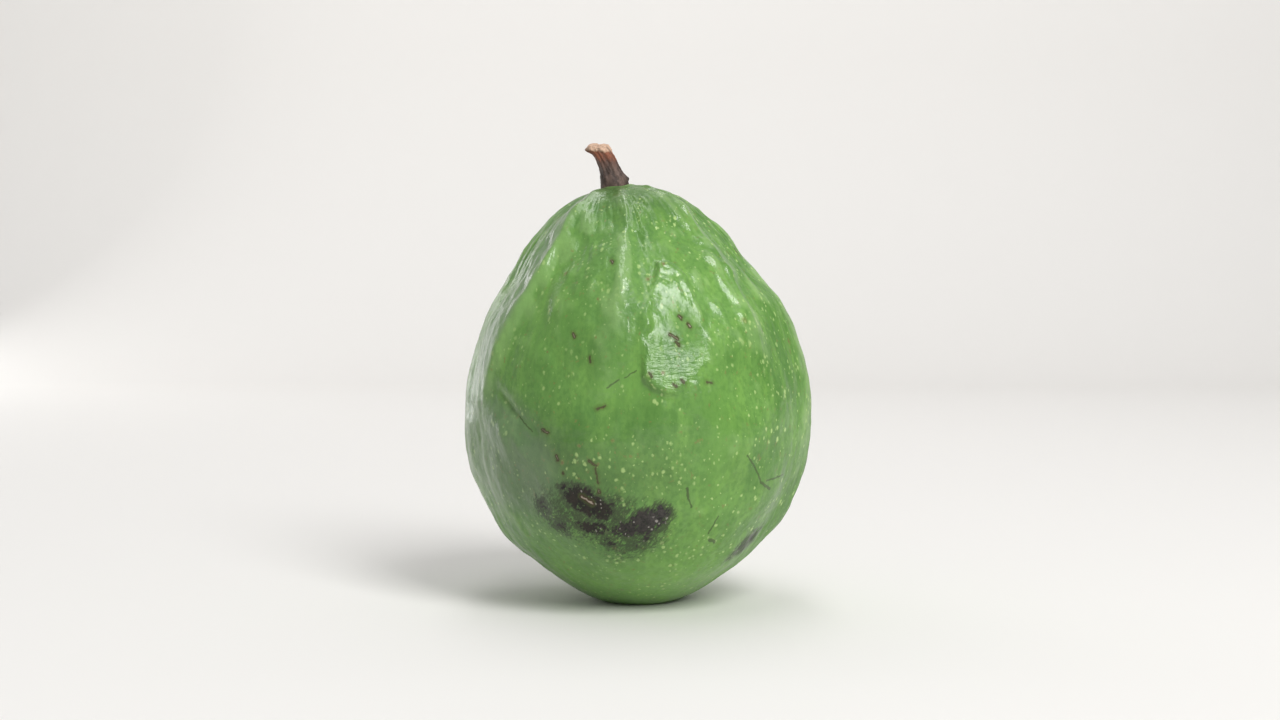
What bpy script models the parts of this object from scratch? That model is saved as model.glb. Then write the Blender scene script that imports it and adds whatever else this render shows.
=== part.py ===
# A green smooth-skinned avocado as picked, with its stub of stem.
# Two solids: the whole fruit, and the woody stem that stands in a plain hole in its crown.
# Metres, +Z up. The origin is the middle of the small flat spot that the fruit rests on,
# and -Y is the side that faces the viewer.

import math

import bmesh
import bpy
import numpy as np
from mathutils import Matrix, Vector

# Driving dimensions of the fruit
FRUIT_HEIGHT = 0.1195  # from the resting spot to the crown
FRUIT_WIDTH = 0.0980  # across the belly, left to right
FRUIT_DEPTH = 0.0965  # across the belly, front to back
BELLY_HEIGHT = 0.0530  # where the fruit is widest
REST_SINK = 0.0017  # how much of the round bottom the flat spot takes off
NECK_PINCH = 0.140  # share of the radius that the shoulders lose
NECK_HEIGHT = 0.109
NECK_SPREAD = 0.020
BASE_PINCH = 0.120  # the same at the bottom, fading out over BASE_SPREAD
BASE_SPREAD = 0.016
CROWN_TILT = math.radians(6.0)  # the stem sits left of the crown's middle
CROWN_LEAN = 0.0020  # how far the crown leans to the left

# Driving dimensions of the stem
STEM_RISE = 0.0112  # from the skin to the broken top
STEM_LEAN = 0.0047  # how far the top leans to the left
STEM_FOOT_RADIUS = 0.0041
STEM_WAIST_RADIUS = 0.0029
STEM_TOP_RADIUS = 0.0027
STEM_SUNK = 0.0030  # depth of the foot below the skin
STEM_GAP = 0.0003  # clear space between the foot and its hole

# Fineness of the meshes
AROUND, ALONG = 96, 54
STEM_AROUND = 28

# Ribs run down from the stem. Angles are degrees round from the front, positive to the right.
# top and low: the angle at the rib's upper and lower end; crest and width in metres.
RIBS = (
    {"top": 6, "low": -14, "from_z": 0.056, "to_z": 0.119, "crest": 0.0005, "width": 0.0030},
    {"top": 12, "low": -3, "from_z": 0.060, "to_z": 0.114, "crest": -0.0003, "width": 0.0030},
    {"top": 13, "low": -3, "from_z": 0.050, "to_z": 0.104, "crest": 0.0002, "width": 0.0024},
    {"top": 49, "low": 45, "from_z": 0.064, "to_z": 0.116, "crest": 0.0008, "width": 0.0042},
    {"top": 80, "low": 72, "from_z": 0.026, "to_z": 0.110, "crest": 0.0007, "width": 0.0060},
    {"top": -26, "low": -31, "from_z": 0.066, "to_z": 0.114, "crest": 0.0002, "width": 0.0042},
    {"top": -35, "low": -65, "from_z": 0.050, "to_z": 0.114, "crest": 0.0013, "width": 0.0050},
)
RIB_START_RADIUS = 0.013  # the ribs rise between the stem's foot and this far out
BACK_RIBS = 6  # more of them on the far side, spaced by a rule

# Hollows in the skin. at: degrees round from the front; wide and tall: half sizes in metres;
# turn: degrees that the hollow is turned clockwise; a negative depth is a bulge.
HOLLOWS = (
    {"at": 16, "z": 0.079, "wide": 0.0085, "tall": 0.0180, "turn": 16, "deep": -0.0003},
    {"at": -44, "z": 0.0562, "wide": 0.0125, "tall": 0.0032, "turn": 34, "deep": 0.0012},
    {"at": -47, "z": 0.0490, "wide": 0.0150, "tall": 0.0042, "turn": 30, "deep": -0.0007},
    {"at": -30, "z": 0.043, "wide": 0.0050, "tall": 0.0040, "turn": 20, "deep": 0.0006},
    {"at": -78, "z": 0.075, "wide": 0.0120, "tall": 0.0220, "turn": 0, "deep": 0.0009},
    {"at": 84, "z": 0.101, "wide": 0.0050, "tall": 0.0030, "turn": 0, "deep": 0.0007},
    {"at": 76, "z": 0.1155, "wide": 0.0090, "tall": 0.0045, "turn": 0, "deep": 0.0009},
    {"at": 66, "z": 0.028, "wide": 0.0110, "tall": 0.0100, "turn": 0, "deep": 0.0008},
    {"at": 150, "z": 0.060, "wide": 0.0160, "tall": 0.0120, "turn": -15, "deep": 0.0010},
    {"at": -140, "z": 0.084, "wide": 0.0100, "tall": 0.0140, "turn": 0, "deep": 0.0008},
    {"at": -110, "z": 0.036, "wide": 0.0140, "tall": 0.0060, "turn": 25, "deep": 0.0007},
)

# Broad uneven growth, as waves that cross the fruit in seeded directions
SWELL_COUNT, SWELL_HEIGHT = 16, 0.00016
SWELL_SHORTEST, SWELL_LONGEST = 0.015, 0.045
SEED = 7

SKIN_GREEN = (0.155, 0.345, 0.085, 1.0)
BARK_BROWN = (0.150, 0.098, 0.078, 1.0)


def clear_scene():
    for obj in list(bpy.data.objects):
        bpy.data.objects.remove(obj, do_unlink=True)


def new_collection(name):
    collection = bpy.data.collections.new(name)
    bpy.context.scene.collection.children.link(collection)
    return collection


def plain_material(name, colour, roughness):
    material = bpy.data.materials.new(name)
    material.use_nodes = True
    shader = material.node_tree.nodes["Principled BSDF"]
    shader.inputs["Base Color"].default_value = colour
    shader.inputs["Roughness"].default_value = roughness
    shader.inputs["Metallic"].default_value = 0.0
    return material


def object_from_bmesh(name, shape, collection, material=None):
    mesh = bpy.data.meshes.new(name)
    shape.to_mesh(mesh)
    shape.free()
    obj = bpy.data.objects.new(name, mesh)
    collection.objects.link(obj)
    if material:
        mesh.materials.append(material)
    return obj


def smooth_step(low, high, value):
    share = np.clip((value - low) / (high - low), 0, 1)
    return share * share * (3 - 2 * share)


def turned_about_y(points, angle):
    """Each point turned about Y by its own angle, towards -X for one at the top."""
    cos, sin = np.cos(angle), np.sin(angle)
    return np.stack(
        (points[:, 0] * cos - points[:, 2] * sin, points[:, 1], points[:, 0] * sin + points[:, 2] * cos),
        axis=1,
    )


def pear_surface(direction):
    """The smooth fruit: (points, outward normals) for unit directions from its middle.

    Two half ellipsoids meet at the belly, the shoulders are pinched in, and the crown tilts
    and leans to the left, so that the pole of the directions is where the stem stands.
    """
    tilt = CROWN_TILT * ((1 + direction[:, 2]) / 2) ** 3
    turned = turned_about_y(direction, tilt)
    span = np.where(turned[:, 2] > 0, FRUIT_HEIGHT - BELLY_HEIGHT, BELLY_HEIGHT + REST_SINK)
    z = BELLY_HEIGHT + span * turned[:, 2]
    girth = 1 - NECK_PINCH * np.exp(-(((z - NECK_HEIGHT) / NECK_SPREAD) ** 2))
    girth -= BASE_PINCH * np.exp(-((z / BASE_SPREAD) ** 2))
    lean = CROWN_LEAN * smooth_step(BELLY_HEIGHT, FRUIT_HEIGHT, z)
    x = turned[:, 0] * girth * FRUIT_WIDTH / 2 - lean
    y = turned[:, 1] * girth * FRUIT_DEPTH / 2
    normal = np.stack(
        (turned[:, 0] * 2 / FRUIT_WIDTH, turned[:, 1] * 2 / FRUIT_DEPTH, turned[:, 2] / span), axis=1
    )
    normal /= np.linalg.norm(normal, axis=1, keepdims=True)
    return np.stack((x, y, z), axis=1), normal


def angle_apart(angle, other):
    """Degrees from other to angle, the short way round."""
    return (angle - other + 180) % 360 - 180


def rib_relief(angle, z, radius, rib):
    """A rib or groove whose crest line runs between two angles, faded out at both ends."""
    along = np.clip((z - rib["from_z"]) / (rib["to_z"] - rib["from_z"]), 0, 1)
    line = rib["low"] + (rib["top"] - rib["low"]) * along
    across = np.radians(angle_apart(angle, line)) * radius
    width = rib["width"] * (0.5 + 0.5 * radius / (FRUIT_WIDTH / 2))
    faded = smooth_step(0, 0.35, along) * smooth_step(STEM_FOOT_RADIUS, RIB_START_RADIUS, radius)
    return rib["crest"] * faded * np.exp(-((across / width) ** 2))


def hollow_relief(angle, z, radius, hollow):
    """A smooth oval hollow, leaning by its turn."""
    across = np.radians(angle_apart(angle, hollow["at"])) * radius
    up = z - hollow["z"]
    cos, sin = math.cos(math.radians(hollow["turn"])), math.sin(math.radians(hollow["turn"]))
    lengthwise = (across * cos - up * sin) / hollow["wide"]
    crosswise = (across * sin + up * cos) / hollow["tall"]
    return -hollow["deep"] * np.exp(-(lengthwise**2) - crosswise**2)


def swell_relief(points):
    """Slow uneven growth: seeded waves of 15 to 45 mm that cross the fruit."""
    draw = np.random.default_rng(SEED)
    total = np.zeros(len(points))
    for _ in range(SWELL_COUNT):
        heading = draw.normal(size=3)
        heading /= np.linalg.norm(heading)
        length = draw.uniform(SWELL_SHORTEST, SWELL_LONGEST)
        phase = draw.uniform(0, 2 * math.pi)
        total += np.sin(points @ heading * 2 * math.pi / length + phase)
    return total * SWELL_HEIGHT


def back_ribs():
    """Ribs for the far side, at even steps with a seeded shift, as on the front."""
    draw = np.random.default_rng(SEED)
    step = (360 - 160) / BACK_RIBS
    for index in range(BACK_RIBS):
        top = 100 + step * (index + 0.5) + draw.uniform(-6, 6)
        yield {
            "top": top,
            "low": top + draw.uniform(-7, 7),
            "from_z": draw.uniform(0.030, 0.060),
            "to_z": draw.uniform(0.110, 0.117),
            "crest": draw.uniform(0.0006, 0.0012),
            "width": draw.uniform(0.0035, 0.0060),
        }


def skin_relief(direction, points):
    """How far the real skin stands out of the smooth pear, fading to none at the flat spot."""
    angle = np.degrees(np.arctan2(direction[:, 0], -direction[:, 1]))
    z = points[:, 2]
    radius = np.hypot(direction[:, 0], direction[:, 1]) * FRUIT_WIDTH / 2
    relief = swell_relief(points)
    for rib in (*RIBS, *back_ribs()):
        relief += rib_relief(angle, z, radius, rib)
    for hollow in HOLLOWS:
        relief += hollow_relief(angle, z, radius, hollow)
    return relief * smooth_step(0.001, 0.016, z)


def make_fruit(collection, material):
    """A sphere whose points are moved out to the ribbed pear, cut flat where it rests."""
    shape = bmesh.new()
    bmesh.ops.create_uvsphere(shape, u_segments=AROUND, v_segments=ALONG, radius=1)
    fruit = object_from_bmesh("fruit", shape, collection, material)
    mesh = fruit.data
    direction = np.empty(len(mesh.vertices) * 3, np.float32)
    mesh.vertices.foreach_get("co", direction)
    direction = direction.reshape(-1, 3).astype(float)
    points, normal = pear_surface(direction)
    points += normal * skin_relief(direction, points)[:, None]
    mesh.vertices.foreach_set("co", points.astype(np.float32).ravel())
    mesh.update()
    mesh.shade_smooth()
    return fruit


def crown_point():
    """Where the stem's line leaves the skin."""
    pole = np.array([[0.0, 0.0, 1.0]])
    points, normal = pear_surface(pole)
    return Vector(points[0] + normal[0] * skin_relief(pole, points)[0])


def cut(obj, cutter, name):
    modifier = obj.modifiers.new(name, "BOOLEAN")
    modifier.operation = "DIFFERENCE"
    modifier.solver = "EXACT"
    modifier.object = cutter


def hide_helper(obj):
    obj.hide_render = True
    obj.display_type = "WIRE"


def cut_resting_spot(fruit, cutters):
    """A box under z = 0 takes off the round bottom."""
    side = 0.06
    shape = bmesh.new()
    bmesh.ops.create_cube(shape, size=side)
    bmesh.ops.translate(shape, verts=shape.verts, vec=(0, 0, -side / 2))
    block = object_from_bmesh("resting_spot_cutter", shape, cutters)
    hide_helper(block)
    cut(fruit, block, "resting spot")


def cut_stem_hole(fruit, crown, cutters):
    """A plain round hole, a little wider than the stem's foot."""
    depth = STEM_SUNK + STEM_GAP
    above = 0.004
    shape = bmesh.new()
    bmesh.ops.create_cone(
        shape,
        cap_ends=True,
        segments=STEM_AROUND,
        radius1=STEM_FOOT_RADIUS + STEM_GAP,
        radius2=STEM_FOOT_RADIUS + STEM_GAP,
        depth=depth + above,
    )
    bmesh.ops.translate(shape, verts=shape.verts, vec=(0, 0, (above - depth) / 2))
    plug = object_from_bmesh("stem_hole_cutter", shape, cutters)
    plug.location = crown
    hide_helper(plug)
    cut(fruit, plug, "stem hole")


def stem_line():
    """(height above the skin, shift to the left, radius) along the stem, foot first.

    The foot is straight in its hole, the stub leans and thins, and its broken top
    is a little wider again.
    """
    stations = []
    for share in np.linspace(0, 1, 15):
        height = -STEM_SUNK + share * (STEM_RISE + STEM_SUNK)
        risen = max(height, 0.0) / STEM_RISE
        flare = math.exp(-((risen / 0.28) ** 2))
        top = smooth_step(0.7, 1.0, risen)
        radius = STEM_WAIST_RADIUS + (STEM_FOOT_RADIUS - STEM_WAIST_RADIUS) * flare
        radius += (STEM_TOP_RADIUS - STEM_WAIST_RADIUS) * top
        stations.append((height, STEM_LEAN * risen**1.35, float(radius)))
    return stations


def bark_relief(angle, height):
    """Shallow furrows down the bark and a pair of scars where bracts fell off."""
    above = smooth_step(0.0006, 0.0022, height)
    furrows = 0.00016 * np.sin(5 * angle + 0.6) + 0.00010 * np.sin(11 * angle + 300 * height)
    knob = np.exp(-((angle_apart(np.degrees(angle), -8) / 26) ** 2) - ((height - 0.0016) / 0.0011) ** 2)
    lip = np.exp(-((angle_apart(np.degrees(angle), 178) / 38) ** 2) - ((height - 0.0100) / 0.0012) ** 2)
    return above * (furrows + 0.0009 * knob + 0.0016 * lip)


def make_stem(crown, collection, material):
    """A bevelled curve with a radius at each point, then furrowed as a mesh."""
    stations = stem_line()
    curve = bpy.data.curves.new("stem_line", "CURVE")
    curve.dimensions = "3D"
    curve.bevel_depth = 1.0
    curve.bevel_resolution = STEM_AROUND // 4 - 2
    curve.use_fill_caps = True
    spline = curve.splines.new("POLY")
    spline.points.add(len(stations) - 1)
    for point, (height, shift, radius) in zip(spline.points, stations):
        point.co = (-shift, 0, height, 1)
        point.radius = radius
    guide = bpy.data.objects.new("stem_line", curve)
    guide.location = crown
    collection.objects.link(guide)
    bpy.context.view_layer.update()
    graph = bpy.context.evaluated_depsgraph_get()
    mesh = bpy.data.meshes.new_from_object(guide.evaluated_get(graph))
    stem = bpy.data.objects.new("stem", mesh)
    stem.matrix_world = guide.matrix_world
    bpy.data.objects.remove(guide)
    collection.objects.link(stem)

    shape = bmesh.new()
    shape.from_mesh(mesh)
    bmesh.ops.remove_doubles(shape, verts=shape.verts, dist=1e-6)
    for vertex in shape.verts:
        height = vertex.co.z
        middle = Vector((-STEM_LEAN * (max(height, 0.0) / STEM_RISE) ** 1.35, 0, height))
        spoke = vertex.co - middle
        angle = math.atan2(spoke.y, spoke.x)
        spoke.z = 0
        if spoke.length > 1e-6:
            vertex.co += spoke.normalized() * float(bark_relief(angle, height))
    bmesh.ops.recalc_face_normals(shape, faces=shape.faces)
    shape.to_mesh(mesh)
    shape.free()
    mesh.materials.clear()
    mesh.materials.append(material)
    mesh.shade_smooth()
    mesh.set_sharp_from_angle(angle=math.radians(50))
    return stem


def main():
    clear_scene()
    parts = new_collection("avocado")
    cutters = new_collection("avocado_cutters")
    skin = plain_material("waxy_skin", SKIN_GREEN, 0.38)
    bark = plain_material("stem_bark", BARK_BROWN, 0.8)
    fruit = make_fruit(parts, skin)
    crown = crown_point()
    cut_resting_spot(fruit, cutters)
    cut_stem_hole(fruit, crown, cutters)
    make_stem(crown, parts, bark)


main()
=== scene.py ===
import functools
import math
import bpy
import numpy as np
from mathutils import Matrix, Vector


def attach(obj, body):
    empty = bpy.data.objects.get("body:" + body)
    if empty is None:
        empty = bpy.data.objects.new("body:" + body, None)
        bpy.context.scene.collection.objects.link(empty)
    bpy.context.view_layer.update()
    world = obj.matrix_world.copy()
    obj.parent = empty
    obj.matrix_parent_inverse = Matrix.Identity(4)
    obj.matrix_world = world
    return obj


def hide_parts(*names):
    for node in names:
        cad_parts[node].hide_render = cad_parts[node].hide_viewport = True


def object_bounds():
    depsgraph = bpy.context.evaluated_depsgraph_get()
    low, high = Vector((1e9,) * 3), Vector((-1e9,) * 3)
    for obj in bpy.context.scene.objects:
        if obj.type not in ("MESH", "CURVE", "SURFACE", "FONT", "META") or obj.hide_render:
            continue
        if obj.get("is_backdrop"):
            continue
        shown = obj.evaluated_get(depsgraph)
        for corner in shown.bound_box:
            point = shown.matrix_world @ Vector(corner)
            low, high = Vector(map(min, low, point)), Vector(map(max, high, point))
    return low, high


# A green avocado with its stub of stem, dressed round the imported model.
# Metres and degrees, +Z up, the viewer on the -Y side. Angles round the fruit
# are counted from the front, positive to the right.

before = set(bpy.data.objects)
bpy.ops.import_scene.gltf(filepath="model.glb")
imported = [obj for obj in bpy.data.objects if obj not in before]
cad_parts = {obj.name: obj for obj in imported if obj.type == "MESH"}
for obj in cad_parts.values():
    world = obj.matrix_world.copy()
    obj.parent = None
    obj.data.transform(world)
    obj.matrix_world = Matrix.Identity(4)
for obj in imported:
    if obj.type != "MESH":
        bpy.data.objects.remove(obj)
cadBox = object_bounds()
print("frame loaded:", ", ".join(sorted(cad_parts)))


# Helpers for shapes

def table(names, *rows):
    # each row's numbers as a dictionary under the names
    return tuple(dict(zip(names.split(), row)) for row in rows)


def smoothStep(low, high, value):
    # an S-curve from 0 at low to 1 at high
    share = np.clip((value - low) / (high - low), 0, 1)
    return share * share * (3 - 2 * share)


def bell(value, middle, width):
    # a round hump: 1 at the middle, falling off over the width
    return np.exp(-(((value - middle) / width) ** 2))


def angleApart(angle, other):
    # degrees from other to angle, the short way round
    return (angle - other + 180) % 360 - 180


def cellNoise(u, v, cellsRound, cellsAlong, seed):
    # random heights from -1 to 1 on a net of cells, read between them with an S-curve.
    # u is a share of the way round and wraps, v a share of the way along
    draw = np.random.default_rng(seed)
    net = draw.uniform(-1, 1, (cellsAlong + 2, cellsRound))
    x, y = (u % 1) * cellsRound, np.clip(v, 0, 1) * cellsAlong
    column, row = np.floor(x).astype(int), np.floor(y).astype(int)
    inX, inY = smoothStep(0, 1, x - column), smoothStep(0, 1, y - row)
    left, right = column % cellsRound, (column + 1) % cellsRound
    low = net[row, left] * (1 - inX) + net[row, right] * inX
    high = net[row + 1, left] * (1 - inX) + net[row + 1, right] * inX
    return low * (1 - inY) + high * inY


def closedSkin(name, points, firstPole, lastPole, shareRound, shareAlong):
    # a mesh from a net of points, rows by columns, closed round and at both ends by a fan.
    # its UV map, sleeve, holds the share of the way round and of the way along
    rows, columns = points.shape[:2]
    vertices = np.concatenate(([firstPole], points.reshape(-1, 3), [lastPole]))
    column = np.arange(columns)
    after = (column + 1) % columns
    row = np.arange(rows - 1)[:, None] * columns + 1
    quads = np.stack((row + column, row + columns + column, row + columns + after, row + after), axis=-1)
    start, end = 1, 1 + (rows - 1) * columns
    firstFan = np.stack((np.zeros_like(column), start + column, start + after), axis=-1)
    lastFan = np.stack((np.full_like(column, len(vertices) - 1), end + after, end + column), axis=-1)
    mesh = bpy.data.meshes.new(name)
    faces = quads.reshape(-1, 4).tolist() + firstFan.tolist() + lastFan.tolist()
    mesh.from_pydata(vertices.tolist(), [], faces)

    u, v = np.append(shareRound, shareRound[0] + 1), shareAlong
    quadU = np.broadcast_to(np.stack((u[:-1], u[:-1], u[1:], u[1:]), axis=-1), (rows - 1, columns, 4))
    quadV = np.stack((v[:-1], v[1:], v[1:], v[:-1]), axis=-1)[:, None]
    quadV = np.broadcast_to(quadV, (rows - 1, columns, 4))
    middle = (u[:-1] + u[1:]) / 2
    firstU, lastU = np.stack((middle, u[:-1], u[1:]), axis=-1), np.stack((middle, u[1:], u[:-1]), axis=-1)
    firstV = np.broadcast_to((0, v[0], v[0]), firstU.shape)
    lastV = np.broadcast_to((1, v[-1], v[-1]), lastU.shape)
    allU = np.concatenate((quadU.ravel(), firstU.ravel(), lastU.ravel()))
    allV = np.concatenate((quadV.ravel(), firstV.ravel(), lastV.ravel()))
    layer = mesh.uv_layers.new(name="sleeve")
    layer.uv.foreach_set("vector", np.stack((allU, allV), axis=-1).astype(np.float32).ravel())
    mesh.shade_smooth()
    piece = bpy.data.objects.new(name, mesh)
    bpy.context.scene.collection.objects.link(piece)
    return piece


def addField(piece, name, values):
    # one number for each point of the mesh, which the piece's material reads. A pole takes the
    # mean of the ring beside it
    values = np.concatenate(([values[0].mean()], values.ravel(), [values[-1].mean()]))
    field = piece.data.attributes.new(name, "FLOAT", "POINT")
    field.data.foreach_set("value", values.astype(np.float32))


# The fruit: the same named sizes as its solid, then finer growth on top

fruit = {
    "height": 0.1195, "width": 0.0980, "depth": 0.0965, "bellyHeight": 0.0530,
    "restSink": 0.0017,  # what the flat spot takes off the round bottom
    "neckPinch": 0.140, "neckHeight": 0.109, "neckSpread": 0.020,
    "basePinch": 0.120, "baseSpread": 0.016,
    "crownTilt": 6.0, "crownLean": 0.0020,
    "around": 440, "along": 198,
    "seatRings": 24, "seatFrom": 3.0, "seatTo": 10.5,  # polar degrees of the finer rings at the stem
    "lastRing": 179.2,  # polar degrees of the ring at the bottom's pole
    "reliefFrom": (0.001, 0.016),  # the relief rises from none between these heights
    "ribStart": 0.013,  # the ribs rise between the stem's foot and this far out
    "ribs": table(  # top and low: the angle at each end
        "top low from to crest width",
        (6, -14, 0.056, 0.119, 0.0005, 0.0030),
        (12, -3, 0.060, 0.114, -0.0003, 0.0030),
        (13, -3, 0.050, 0.104, 0.0002, 0.0024),
        (49, 45, 0.064, 0.116, 0.0008, 0.0042),
        (80, 72, 0.026, 0.110, 0.0007, 0.0060),
        (-26, -31, 0.066, 0.114, 0.0002, 0.0042),
        (-35, -65, 0.050, 0.114, 0.0013, 0.0050),
    ),
    "keenRibs": table(  # narrow crests on the ribs, too fine for the solid
        "top low from to crest width",
        (8, -14, 0.062, 0.119, 0.0001, 0.0018),
        (49, 45, 0.064, 0.116, 0.0007, 0.0014),
        (-34, -63, 0.050, 0.114, 0.0003, 0.0014),
    ),
    "folds": table(  # short raised lines, each from an angle and height to another
        "fromAngle fromZ toAngle toZ crest width",
        (38.5, 0.0994, 51.0, 0.0928, 0.00080, 0.0013),
        (41.0, 0.0932, 44.5, 0.0858, 0.00062, 0.0012),
        (44.5, 0.0850, 42.6, 0.0812, 0.00070, 0.0012),
        (43.8, 0.1092, 43.4, 0.1060, 0.00055, 0.0011),
        (41.0, 0.1034, 45.5, 0.1022, 0.00075, 0.0012),
        (32.0, 0.0868, 35.8, 0.0820, 0.00090, 0.0015),
        (-40.0, 0.1010, -43.5, 0.0925, 0.00060, 0.0012),
        (-43.5, 0.0925, -48.5, 0.0850, 0.00055, 0.0012),
        (-43.5, 0.0990, -51.0, 0.0830, 0.00045, 0.0012),
        (-38.5, 0.1110, -39.5, 0.1050, 0.00045, 0.0012),
        (-25.9, 0.0950, -26.4, 0.0920, 0.00060, 0.0010),
        (-53.0, 0.0615, -42.0, 0.0540, 0.00045, 0.0011),
        (-44.0, 0.0545, -33.0, 0.0500, 0.00045, 0.0011),
        (-51.0, 0.0622, -40.0, 0.0548, -0.00055, 0.0012),
        (-43.0, 0.0520, -38.0, 0.0440, 0.00030, 0.0011),
        (-48.0, 0.0530, -45.0, 0.0440, 0.00025, 0.0011),
    ),
    "ribBreaks": {"mean": 0.65, "high": 0.55, "cells": (60, 56), "seed": 16},  # of the narrow crests
    "backRibs": {  # more ribs on the far side, each number drawn from its pair
        "count": 6, "side": (100, 300), "shift": (-6, 6), "lean": (-7, 7),
        "from": (0.030, 0.060), "to": (0.110, 0.117),
        "crest": (0.0006, 0.0012), "width": (0.0035, 0.0060),
    },
    "hollows": table(  # wide and tall: half sizes; turn: clockwise; a negative depth is a bulge
        "at z wide tall turn deep",
        (16, 0.079, 0.0085, 0.0180, 16, -0.0003),
        (-44, 0.0562, 0.0125, 0.0032, 34, 0.0012),
        (-47, 0.0490, 0.0150, 0.0042, 30, -0.0007),
        (-30, 0.043, 0.0050, 0.0040, 20, 0.0006),
        (-78, 0.075, 0.0120, 0.0220, 0, 0.0009),
        (84, 0.101, 0.0050, 0.0030, 0, 0.0007),
        (76, 0.1155, 0.0090, 0.0045, 0, 0.0009),
        (66, 0.028, 0.0110, 0.0100, 0, 0.0008),
        (150, 0.060, 0.0160, 0.0120, -15, 0.0010),
        (-140, 0.084, 0.0100, 0.0140, 0, 0.0008),
        (-110, 0.036, 0.0140, 0.0060, 25, 0.0007),
    ),
    "swells": 16, "swellHeight": 0.00016, "swellShortest": 0.015, "swellLongest": 0.045,
    # Growth too fine for the solid. high is metres up and down, cells how many there are round
    # the fruit and from crown to bottom, slant how many turns they lean over on the way down
    "growth": table(
        "name high cells slant seed",
        ("pebbles", 0.00012, (96, 44), 0, 11),  # 3 mm wide
        ("smallPebbles", 0.00009, (170, 84), 0, 12),  # 2 mm
        ("wrinkles", 0.00014, (190, 26), 0, 13),  # 1.6 mm, upright
        ("knobs", 0.00034, (44, 36), 0, 14),  # 5 to 7 mm
        ("creases", 0.00024, (130, 13), 0.02, 18),  # 2.4 mm, upright and long
        ("crinkles", 0.00026, (84, 44), 0.5, 19),  # 4 mm, on the facet
        ("smallCrinkles", 0.000117, (180, 96), -0.6, 20),  # 2 mm
    ),
    "shoulders": (0.060, 0.105),  # knobs and deep wrinkles come in between these heights
    "flank": {"at": -76, "wide": 26, "below": (0.112, 0.095)},  # where the creases are
    "growthFrom": (0.001, 0.012), "growthOut": (0.006, 0.028),  # heights and radii where it comes in
    # Where the stem stands. out is metres from its foot, dip how far the skin sinks under it
    "crease": {"high": -0.00045, "out": 0.0003, "wide": 0.0004},
    "collar": {"high": 0.00030, "out": 0.0015, "wide": 0.0008},
    "unevenCollar": {"high": 0.7, "cells": (9, 2), "seed": 15},
    "dip": 0.0012, "dipOut": (-0.0012, -0.0002), "seatOut": (0.0016, 0.0002),
    # Painted sheen low on the left flank: a grey-white reflection painted into the colour
    "bloom": {"at": -58, "z": 0.0455, "wide": 0.0260, "tall": 0.0150, "turn": 14},
    "paintedSheenEdge": (0.22, 0.48),
    # Painted sheen on the flank left of the left crest, a grey-white reflection in the colour.
    # near and far: the degrees from the crest's line over which it comes in and goes out;
    # start: the share of the line; end: the heights
    "paintedFlankSheen": {
        "top": -34, "low": -63, "from": 0.050, "to": 0.114, "near": (-1, 4), "far": (23.0, 9.2),
        "start": (0, 0.3), "end": (0.116, 0.106), "full": 1.65,
    },
    "sunny": {"middle": 15, "side": (-55, 35), "back": (110, 165)},  # the side with more flecks, and lit; the far side gets painted shade
    "tallFlecks": (0.045, 0.110),  # from round flecks on the belly to tall ones on the shoulders
    "shades": table(  # places of painted shade, where the green is deeper, or of painted light, paler, where deep is negative
        "at z wide tall turn deep",
        # the first is partly the skin's own darker green and partly painted shade
        (-32, 0.0410, 0.0240, 0.0125, 0, 1.2),
        (5, 0.0400, 0.0110, 0.0070, 0, 0.45),
        (62, 0.0380, 0.0110, 0.0120, 0, 0.40),
        (26, 0.0460, 0.0052, 0.0180, 0, -0.6),
        (10, 0.1165, 0.0300, 0.0060, 0, 1.1),
        (10, 0.0080, 0.0400, 0.0080, 0, -0.8),
        (-4, 0.0640, 0.0100, 0.0080, 0, -0.6),
        (-32, 0.0880, 0.0120, 0.0180, 0, -0.5),
    ),
    "seed": 7,
}

# The flat, glossy facet on the front, a shallow dome that faces round and up by faces degrees.
# Its sides are straight: each faces a direction in the front view, in degrees from the right,
# and lies so many millimetres from the middle
facet = {
    "middle": (0.0100, -0.0424, 0.0790), "faces": (15.2, 21.4), "sunk": 0.0004,
    "domeAcross": 0.128, "domeUp": 0.120,  # radii of the dome
    "dents": table(
        "at z wide tall turn deep",
        (19, 0.0800, 0.0042, 0.0058, -35, 0.00034),
        (13, 0.0735, 0.0050, 0.0030, -12, 0.00020),
        (13, 0.0640, 0.0070, 0.0012, -6, -0.00030),
    ),
    "sides": ((174, 7.3), (83, 17.0), (42, 10.8), (14, 7.3), (-48, 12.6), (-95, 17.0), (-146, 14.2)),
    "soft": 0.5,  # half the width of its edge, in millimetres
    "ragged": {"high": 0.9, "cells": (110, 60), "seed": 17},  # its edge wavers, in millimetres
    "calm": 0.6,  # share of the fine growth that it lacks
    "crinkled": (0.072, 0.080),  # from half the crinkles below to all of them above
    "wrinkled": (0.080, 0.075),  # level wrinkles come in between these heights
}
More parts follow.
